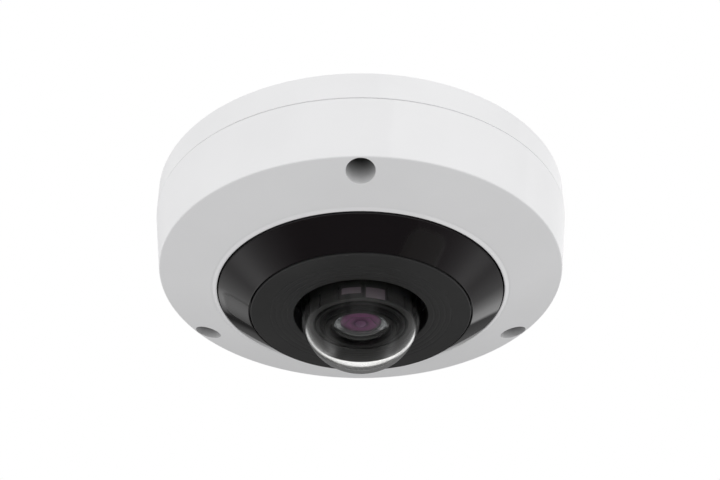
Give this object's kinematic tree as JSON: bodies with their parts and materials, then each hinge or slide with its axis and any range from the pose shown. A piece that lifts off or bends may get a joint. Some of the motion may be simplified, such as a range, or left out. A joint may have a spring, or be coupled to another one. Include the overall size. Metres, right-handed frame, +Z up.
{
  "type": "fisheye camera",
  "caption": "Round ceiling fisheye camera: flat mounting base, white cover with screw pockets, dark infrared window, lens bezel and clear dome over a wide lens.",
  "frame": {"origin": "centre of the flat face that lies on the ceiling", "axes": "+Z up into the ceiling, lens looking along -Z, one cover screw towards -Y, cable entry towards +X"},
  "size_m": [0.15, 0.15, 0.068],
  "materials": {
    "white_casting": "satin",
    "white_polycarbonate": "satin",
    "smoked_acrylic": "gloss",
    "black_polycarbonate": "satin",
    "clear_polycarbonate": "polished",
    "black_anodised": "satin",
    "optical_glass": "polished",
    "coated_glass": "polished",
    "filter_glass": "polished",
    "silicone": "matte",
    "thermal_silicone": "matte",
    "circuit_board": "satin",
    "white_board": "satin",
    "black_package": "matte",
    "plated_steel": "satin",
    "stainless_steel": "satin",
    "bare_aluminium": "satin",
    "brass": "polished",
    "gold_contact": "polished",
    "green_moulding": "matte",
    "ferrite": "matte",
    "lamp_resin": "gloss",
    "ribbon_film": "satin",
    "connector_moulding": "matte",
    "copper_coil": "satin",
    "sensor_ceramic": "matte"
  },
  "bodies": {
    "base": {"mounting_base": "white_casting", "cover_seal": "silicone", "cable_grommet": "silicone", "chassis_plate": "bare_aluminium", "board_spacers": "plated_steel", "main_board": "circuit_board", "processor_chip": "black_package", "thermal_pad": "thermal_silicone", "memory_chips": "black_package", "network_jack": "plated_steel", "jack_contacts": "gold_contact", "network_transformer": "black_package", "card_socket": "plated_steel", "reset_switch_body": "black_package", "power_terminal": "green_moulding", "terminal_screws": "plated_steel", "capacitors": "bare_aluminium", "power_inductor": "ferrite", "led_standoffs": "brass", "led_board": "white_board", "led_emitters": "lamp_resin", "led_pods": "black_polycarbonate", "led_board_screws": "stainless_steel", "light_sensor": "lamp_resin", "led_ribbon": "ribbon_film", "sensor_standoffs": "brass", "sensor_board": "circuit_board", "sensor_board_screws": "stainless_steel", "image_sensor": "sensor_ceramic", "sensor_glass": "optical_glass", "lens_mount": "black_polycarbonate", "filter_coil": "copper_coil", "lens_barrel": "black_anodised", "lens_lock_ring": "black_anodised", "front_element": "optical_glass", "second_element": "coated_glass", "rear_element": "coated_glass", "front_retaining_ring": "black_anodised", "lens_shroud": "black_polycarbonate", "sensor_ribbon": "ribbon_film", "ribbon_connectors": "connector_moulding"},
    "cover": {"front_cover": "white_polycarbonate", "ir_window": "smoked_acrylic", "ir_window_seal": "silicone", "window_clamps": "stainless_steel", "window_clamp_screws": "stainless_steel", "lens_bezel": "black_polycarbonate", "bezel_screws": "stainless_steel", "clear_dome": "clear_polycarbonate", "dome_seal": "silicone", "dome_clamp_ring": "bare_aluminium", "clamp_ring_screws": "stainless_steel", "cover_screws": "stainless_steel", "screw_seals": "silicone"},
    "filter_carriage": {"filter_carriage": "black_polycarbonate", "ir_cut_glass": "filter_glass", "clear_glass": "optical_glass"},
    "memory_card": {"memory_card": "black_package"},
    "reset_button": {"reset_button": "black_polycarbonate"}
  },
  "joints": [
    {"name": "cover_lift_off", "type": "slide", "parent": "base", "child": "cover", "axis": [0, 0, -1], "range_m": [0, 0.06]},
    {"name": "filter_switch", "type": "slide", "parent": "base", "child": "filter_carriage", "axis": [-1, 0, 0], "range_m": [0, 0.009]},
    {"name": "memory_card_out", "type": "slide", "parent": "base", "child": "memory_card", "axis": [-1, 0, 0], "range_m": [0, 0.012]},
    {"name": "reset_press", "type": "slide", "parent": "base", "child": "reset_button", "axis": [0, 0, 1], "range_m": [0, 0.0003], "stiffness_N_per_m": 800, "springref_m": -0.0001}
  ]
}
